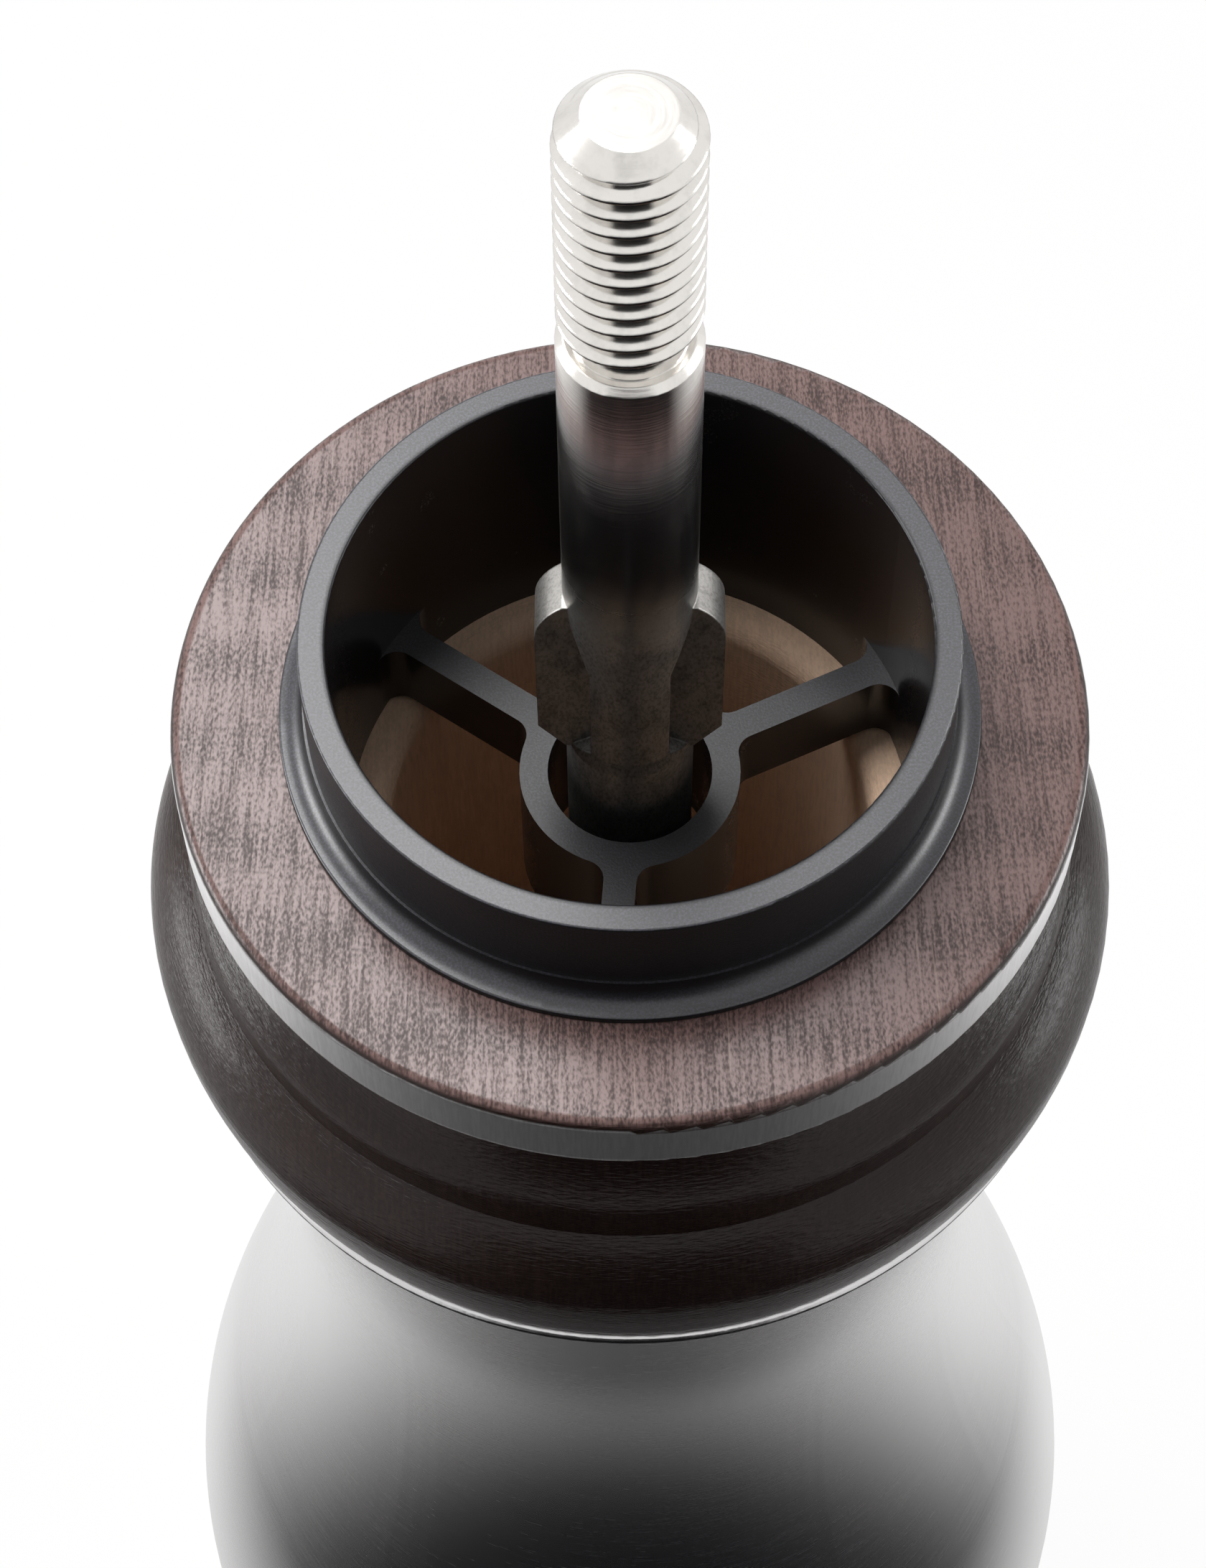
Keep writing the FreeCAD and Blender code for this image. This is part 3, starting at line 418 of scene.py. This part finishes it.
def stained_wood(settings):
    """Turned beech: end grain on top, painted lighter for the light it catches; long grain round the sides,
    painted darker for the shade there; bare wood in the bore.
    """
    finish = new_finish("stained_wood")
    place = finish.place()
    zones = wood_zones(finish, settings, place)
    figure = wood_figure(finish, settings, place)
    end_grain_painted_lit, disc_edge, inside = zones
    _, pore, _ = figure

    x, y, z = finish.split(place)
    marks_per_unit = (32.0, 9.0, 9.0)
    turning = finish.streaks((finish.angle(x, y), z, finish.radius(x, y)), marks_per_unit)
    turned = (1.0 - end_grain_painted_lit) * (1.0 - disc_edge * 0.85)
    marks = turning * turned * 3.0
    open_grain = (1.0 - pore) * end_grain_painted_lit

    side_lacquer = 0.1 + disc_edge * 0.2
    top_lacquer = 0.76 - 0.60 * pore
    lacquer = side_lacquer + end_grain_painted_lit * (top_lacquer - side_lacquer)
    relief = open_grain + marks
    return finish.surface({
        "Base Color": wood_tint(finish, settings, zones, figure),
        "Metallic": disc_edge * settings.edge_sheen,
        "Roughness": 0.29 + end_grain_painted_lit * 0.17 + inside * 0.40,
        "Specular IOR Level": 0.2,
        "Coat Weight": (1.0 - inside) * lacquer,
        "Coat Roughness": 0.22,
        "Normal": finish.bump(relief, depth=0.02),
    })


# Plastic, metal and rubber


def moulded_plastic(settings):
    """Black moulding: grained on its outside, smooth and glossy inside the filler, with painted light on its
    flat faces.
    """
    finish = new_finish("moulded_plastic")
    place = finish.place()
    x, y, _ = finish.split(place)
    grains_per_millimetre = 1.0 / in_millimetres(settings.grain)
    clouds_per_millimetre = 0.35
    grain = finish.noise(place, grains_per_millimetre, roughness=0.6)
    cloud = finish.noise(place, clouds_per_millimetre)
    flat = finish.ramp(finish.function("ABSOLUTE", finish.facing_up()), 0.35, 0.8)
    flange_and_wall = 2.3
    fade = 0.2
    filler = in_millimetres(INSERT_RADIUS) - flange_and_wall
    within = 1.0 - finish.ramp(finish.radius(x, y), filler - fade, filler)
    glossy = within * (1.0 - flat)
    # Painted light: flat faces get the paler grain, less of it down inside the filler, where shade falls.
    painted_light_on_flats = flat * (1.0 - within * 0.72)
    speck = finish.ramp(grain, 0.38, 0.70)
    pale = speck * (0.04 + painted_light_on_flats * 0.96)
    return finish.surface({
        "Base Color": finish.mixed(pale, settings.black, settings.painted_light_on_flats),
        "Roughness": 0.46 - speck * 0.08 + (cloud - NOISE_MEAN) * 0.08 - glossy * 0.2,
        "Specular IOR Level": 0.2,
        "Coat Weight": 0.08 + painted_light_on_flats * 0.46 + glossy * 0.2,
        "Coat Roughness": 0.34,
        "Coat IOR": 1.8,
        "Normal": finish.bump(grain * (1.0 - glossy * 0.9), depth=0.014),
    })


def satin_steel(settings):
    """Stainless sheet, brushed round the axis."""
    finish = new_finish("satin_steel")
    x, y, z = finish.split(finish.place())
    marks_per_unit = (5.0, 1.0 / in_millimetres(settings.brushing), 1.0)
    clouds_per_millimetre = (0.06, 0.06, 0.06)
    brush = finish.streaks((finish.angle(x, y), z, 0.0), marks_per_unit, detail=3.0, roughness=0.65)
    cloud = finish.streaks((x, y, z), clouds_per_millimetre)
    groove = darkened(settings.jacket, 0.92)
    return finish.surface({
        "Base Color": finish.mixed(finish.ramp(brush, 0.3, 0.7), groove, settings.jacket),
        "Metallic": 1.0,
        "Roughness": 0.26 + (brush - NOISE_MEAN) * 0.10 + (cloud - NOISE_MEAN) * 0.05,
        "Anisotropic": 0.35,
        "Normal": finish.bump(brush, depth=0.0022),
    })


def turned_steel(settings):
    """Bright bar with tool marks round its side and in rings on its end, dull where it was pressed."""
    finish = new_finish("turned_steel")
    x, y, z = finish.split(finish.place())
    end_face = finish.ramp(finish.facing_up(), 0.9, 0.98)
    along_cut = z + end_face * (finish.radius(x, y) - z)
    marks_per_unit = (0.8, 1.0 / in_millimetres(settings.turning), 1.0)
    tool = finish.streaks((finish.angle(x, y), along_cut, 0.0), marks_per_unit, roughness=0.6)

    stains_per_millimetre = (1.1, 1.1, 0.5)
    scales_per_millimetre = (8.0, 8.0, 4.0)
    wear = finish.streaks((x, y, z), stains_per_millimetre, detail=4.0, roughness=0.6)
    skin = finish.streaks((x, y, z), scales_per_millimetre, roughness=0.6)
    stain = finish.ramp(wear, 0.42, 0.72)
    scale = finish.ramp(skin, 0.4, 0.7)
    fade = 4.0
    pressed_top = in_millimetres(settings.pressed_top)
    pressed = 1.0 - finish.ramp(z, pressed_top - fade, pressed_top + fade)

    dark = darkened(settings.shaft, 0.15)
    dull = stain * 0.12 + pressed * (0.8 + scale * 0.15)
    edge_radius = 0.12 * MILLIMETRE
    soft_edges = finish.add("ShaderNodeBevel", {"samples": 6}, {"Radius": edge_radius})
    return finish.surface({
        "Base Color": finish.mixed(dull, settings.shaft, dark),
        "Metallic": 1.0,
        "Roughness": 0.10 + tool * 0.10 + stain * 0.03 + pressed * 0.30,
        "Normal": finish.bump(tool, depth=0.0025, normal=soft_edges),
    })


def ground_steel(settings):
    """Hardened burr steel with grinding marks and a brown temper."""
    finish = new_finish("ground_steel")
    place = finish.place()
    marks_per_millimetre = (7.0, 7.0, 1.2)
    clouds_per_millimetre = 0.16
    grind = finish.streaks(finish.split(place), marks_per_millimetre, roughness=0.6)
    heated = finish.ramp(finish.noise(place, clouds_per_millimetre), 0.45, 0.8)
    return finish.surface({
        "Base Color": finish.mixed(heated * 0.5, settings.burr, settings.temper),
        "Metallic": 1.0,
        "Roughness": 0.30 + grind * 0.18,
        "Normal": finish.bump(grind, depth=0.006),
    })


def plated_metal(name, tint, roughness, grain, depth):
    """Small metal pieces: a mottled plate or casting skin over a base colour."""
    finish = new_finish(name)
    place = finish.place()
    mottle = finish.noise(place, grain, detail=3.0, roughness=0.6)
    cloud = finish.ramp(finish.noise(place, grain * 0.12), 0.35, 0.8)
    return finish.surface({
        "Base Color": finish.mixed(cloud * 0.6, tint, darkened(tint, 0.62)),
        "Metallic": 1.0,
        "Roughness": roughness + (mottle - NOISE_MEAN) * 0.2,
        "Normal": finish.bump(mottle, depth),
    })


def drawn_wire(name, settings):
    """Wire of the spring and the clip."""
    return plated_metal(name, settings.spring, roughness=0.28, grain=5.0, depth=0.004)


def moulded_rubber(settings):
    """Matte rubber with a little bloom."""
    finish = new_finish("moulded_rubber")
    place = finish.place()
    grains_per_millimetre = 6.0
    blooms_per_millimetre = 0.25
    grain = finish.noise(place, grains_per_millimetre, roughness=0.6)
    bloom = finish.ramp(finish.noise(place, blooms_per_millimetre, detail=3.0), 0.45, 0.8)
    return finish.surface({
        "Base Color": finish.mixed(bloom * 0.45, settings.black, settings.dust),
        "Roughness": 0.66 + grain * 0.2,
        "Specular IOR Level": 0.35,
        "Normal": finish.bump(grain, depth=0.02),
    })


# Pieces


def dress(material, *names):
    """Give nodes of the mill their material."""
    for name in names:
        for slot in frame["nodes"][name].material_slots:
            slot.material = material


def add_object(name, data):
    made = bpy.data.objects.new(name, data)
    bpy.context.scene.collection.objects.link(made)
    return made


def fit_spring(wire):
    """A copy of the spring with its own mesh and the wire finish, put on the mill in place of the hidden
    original.
    """
    low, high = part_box("burr_spring")
    rise = next(joint["range_m"][1] for joint in frame["joints"] if joint["name"] == "shaft_rise")
    spring = add_object("giving_spring", frame["nodes"]["burr_spring"].data.copy())
    spring.data.materials.clear()
    spring.data.materials.append(wire)
    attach(spring, "mill")
    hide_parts("burr_spring")
    shortened = 1 - rise / (high[2] - low[2])
    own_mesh(spring)


# Stage


def is_seen(finish):
    """1 where the surface is seen, also mirrored or through glass, and 0 where it only gives light."""
    rays = finish.add("ShaderNodeLightPath").socket.node.outputs
    direct, mirrored, through = (
        Signal(finish, rays[name]) for name in ("Is Camera Ray", "Is Glossy Ray", "Is Transmission Ray")
    )
    return finish.function("MAXIMUM", finish.function("MAXIMUM", direct, mirrored), through)


def add_disc(name, middle, reach):
    """A flat round sheet."""
    corners = 96
    turn = 2 * math.pi / corners
    spokes = [Vector((math.cos(turn * step), math.sin(turn * step), 0.0)) for step in range(corners)]
    mesh = bpy.data.meshes.new(name)
    mesh.from_pydata([middle + reach * spoke for spoke in spokes], [], [range(corners)])
    return add_object(name, mesh)


def make_floor(studio):
    """A wide round floor that looks white and keeps a soft shadow."""
    floor_radius = 4.0
    floor = add_disc("floor", Vector((0.0, 0.0, FLOOR_LEVEL)), floor_radius)
    finish = new_finish("floor_paint")
    shade = finish.add("ShaderNodeBsdfDiffuse", sockets={"Color": opaque(studio.floor)})
    white = finish.add("ShaderNodeEmission", sockets={"Color": WHITE, "Strength": 1.0})
    amount = is_seen(finish) * studio.floor_white
    mixed = finish.add("ShaderNodeMixShader", sockets={0: amount, 1: shade, 2: white})
    floor.data.materials.append(finish.output(mixed))


def painted_shadow_cloth(studio):
    """Painted shadow: a dark sheet with a curved, soft edge, and nothing beyond that edge."""
    finish = new_finish("painted_shadow_cloth")
    soft = studio.painted_shadow_soft
    x, y, _ = finish.split(finish.add("ShaderNodeTexCoord", output="Object"))
    from_middle = finish.radius(x, y - studio.painted_shadow_shift)
    starts = finish.ramp(from_middle, studio.painted_shadow_opening - soft, studio.painted_shadow_opening + soft)
    beside = finish.function("ABSOLUTE", x) + y * studio.painted_shadow_spread
    within = 1.0 - finish.ramp(beside, studio.painted_shadow_width - soft, studio.painted_shadow_width + soft)
    gap = finish.add("ShaderNodeBsdfTransparent")
    cloth = finish.add("ShaderNodeBsdfDiffuse", sockets={"Color": opaque(studio.flag)})
    mixed = finish.add("ShaderNodeMixShader", sockets={0: starts * within, 1: gap, 2: cloth})
    return finish.output(mixed)


def make_painted_shadow(studio):
    """A painted shadow: a dark sheet that lies in front of the foot and hangs up at its far end, seen only in
    reflections.
    """
    reach = 0.6
    height = 0.6
    behind = 0.2
    lying = FLOOR_LEVEL + MILLIMETRE
    fold = ((behind, lying), (-reach, lying), (-reach, height))
    points = [(side * reach, y, level) for y, level in fold for side in (-1, 1)]
    mesh = bpy.data.meshes.new("flag")
    mesh.from_pydata(points, [], [(0, 1, 3, 2), (2, 3, 5, 4)])
    mesh.materials.append(painted_shadow_cloth(studio))
    flag = add_object("flag", mesh)
    flag.visible_camera = False
    flag.visible_diffuse = False
    flag.visible_shadow = False
    flag.visible_transmission = False


def make_surroundings(scene, studio):
    """An even room that is white where it is seen."""
    scene.world = bpy.data.worlds.new("studio")
    finish = Finish(scene.world)
    strength = is_seen(finish) * (1.0 - studio.world_level) + studio.world_level
    room = finish.add("ShaderNodeBackground", sockets={"Color": WHITE, "Strength": strength})
    finish.add("ShaderNodeOutputWorld", sockets={"Surface": room}, output=None)


def make_light(name, level, size, place):
    """A soft rectangular light that faces the top of the mill."""
    lamp = bpy.data.lights.new(name, "AREA")
    lamp.shape = "RECTANGLE"
    lamp.size, lamp.size_y = size
    lamp.energy = level
    light = add_object(name, lamp)
    light.location = place
    target = Vector((0.0, 0.0, WOOD_TOP))
    light.rotation_euler = (target - light.location).to_track_quat("-Z", "Y").to_euler()


def make_lights(studio):
    """A large light above and behind the mill and a smaller one on each side."""
    large = (0.40, 0.36)
    small = (0.30, 0.24)
    above = (-0.17, 0.24, 0.76)
    left = (-0.62, 0.06, 0.24)
    right = (0.62, 0.06, 0.24)
    make_light("top_light", studio.top_level, large, above)
    make_light("side_light", studio.side_level, small, left)
    make_light("fill_light", studio.fill_level, small, right)


def make_camera(scene, studio):
    sensor_width = 36.0
    lens = bpy.data.cameras.new("camera")
    lens.lens = studio.lens
    lens.sensor_width = sensor_width
    lens.shift_x = studio.framing
    camera = add_object("camera", lens)
    camera.location = studio.camera_place
    camera.rotation_euler = (studio.camera_tilt, 0.0, 0.0)
    scene.camera = camera


# Operators


class DressWood(bpy.types.Operator):
    """Stain and lacquer the turned wooden neck"""

    bl_idname = "mill.dress_wood"
    bl_label = "Wooden neck"

    def execute(self, context):
        dress(stained_wood(context.scene.mill_wood), "wood_body")
        return {"FINISHED"}


class DressMouldings(bpy.types.Operator):
    """Finish the black mouldings: filler insert, burr carrier and cup rim"""

    bl_idname = "mill.dress_mouldings"
    bl_label = "Black mouldings"

    def execute(self, context):
        dress(moulded_plastic(context.scene.mill_plastic), "filler_insert", "burr_carrier", "cup_rim")
        return {"FINISHED"}


class DressSheet(bpy.types.Operator):
    """Brush the steel jacket and the cup"""

    bl_idname = "mill.dress_sheet"
    bl_label = "Jacket and cup"

    def execute(self, context):
        dress(satin_steel(context.scene.mill_steel), "steel_jacket", "cup_shell")
        return {"FINISHED"}


class DressShaft(bpy.types.Operator):
    """Turn the drive shaft bright"""

    bl_idname = "mill.dress_shaft"
    bl_label = "Drive shaft"

    def execute(self, context):
        dress(turned_steel(context.scene.mill_steel), "drive_shaft")
        return {"FINISHED"}


class DressBurrs(bpy.types.Operator):
    """Grind the burr ring and the burr cone"""

    bl_idname = "mill.dress_burrs"
    bl_label = "Burrs"

    def execute(self, context):
        dress(ground_steel(context.scene.mill_steel), "outer_burr", "inner_burr")
        return {"FINISHED"}


class DressFittings(bpy.types.Operator):
    """Finish the bridge, bush, clip, spring seat and fasteners"""

    bl_idname = "mill.dress_fittings"
    bl_label = "Inner fittings"

    def execute(self, context):
        steel = context.scene.mill_steel
        zinc = plated_metal("zinc_plate", steel.zinc, roughness=0.32, grain=3.0, depth=0.006)
        alloy = plated_metal("cast_alloy", steel.cast, roughness=0.48, grain=2.2, depth=0.02)
        bronze = plated_metal("sintered_bronze", steel.bronze, roughness=0.42, grain=8.0, depth=0.012)
        dress(zinc, "carrier_screws", "burr_keys", "thrust_washer", "lock_washer", "burr_nut", "spring_seat")
        dress(drawn_wire("spring_clip", steel), "retaining_clip")
        dress(alloy, "bearing_bridge")
        dress(bronze, "bridge_bush")
        return {"FINISHED"}


class FitSpring(bpy.types.Operator):
    """Fit a copy of the spring with its wire finish"""

    bl_idname = "mill.fit_spring"
    bl_label = "Burr spring"

    def execute(self, context):
        fit_spring(drawn_wire("spring_wire", context.scene.mill_steel))
        return {"FINISHED"}


class DressRubber(bpy.types.Operator):
    """Finish the rubber foot and the cup seal"""

    bl_idname = "mill.dress_rubber"
    bl_label = "Foot and seal"

    def execute(self, context):
        dress(moulded_rubber(context.scene.mill_rubber), "foot_pad", "cup_seal")
        return {"FINISHED"}


class BuildStage(bpy.types.Operator):
    """Make the floor, the lights, the surroundings and the camera"""

    bl_idname = "mill.build_stage"
    bl_label = "Stage"

    def execute(self, context):
        studio = context.scene.mill_studio
        make_floor(studio)
        make_surroundings(context.scene, studio)
        # The painted shadow, seen only in reflections.
        make_painted_shadow(studio)
        make_lights(studio)
        make_camera(context.scene, studio)
        context.scene.view_settings.view_transform = "Standard"
        return {"FINISHED"}


# Panel and registration

OPERATORS = (
    DressWood,
    DressMouldings,
    DressSheet,
    DressShaft,
    DressBurrs,
    DressFittings,
    FitSpring,
    DressRubber,
    BuildStage,
)
SETTINGS = {
    "mill_wood": WoodSettings,
    "mill_plastic": PlasticSettings,
    "mill_steel": SteelSettings,
    "mill_rubber": RubberSettings,
    "mill_studio": StudioSettings,
}


class MillPanel(bpy.types.Panel):
    """Lists the steps that dress the mill and its settings"""

    bl_idname = "VIEW3D_PT_mill"
    bl_label = "Coffee mill"
    bl_space_type = "VIEW_3D"
    bl_region_type = "UI"
    bl_category = "Mill"

    def draw(self, context):
        for operator in OPERATORS:
            self.layout.operator(operator.bl_idname)
        for name, group in SETTINGS.items():
            box = self.layout.box()
            box.label(text=group.__doc__)
            for setting in group.__annotations__:
                box.prop(getattr(context.scene, name), setting)


def register():
    for name, group in SETTINGS.items():
        bpy.utils.register_class(group)
        setattr(bpy.types.Scene, name, PointerProperty(type=group))
    for made in (*OPERATORS, MillPanel):
        bpy.utils.register_class(made)


def unregister():
    for made in (MillPanel, *reversed(OPERATORS)):
        bpy.utils.unregister_class(made)
    for name, group in reversed(SETTINGS.items()):
        delattr(bpy.types.Scene, name)
        bpy.utils.unregister_class(group)


def main():
    register()
    bpy.ops.mill.dress_wood()
    bpy.ops.mill.dress_mouldings()
    bpy.ops.mill.dress_sheet()
    bpy.ops.mill.dress_shaft()
    bpy.ops.mill.dress_burrs()
    bpy.ops.mill.dress_fittings()
    bpy.ops.mill.fit_spring()
    bpy.ops.mill.dress_rubber()
    bpy.ops.mill.build_stage()


if __name__ == "__main__":
    main()
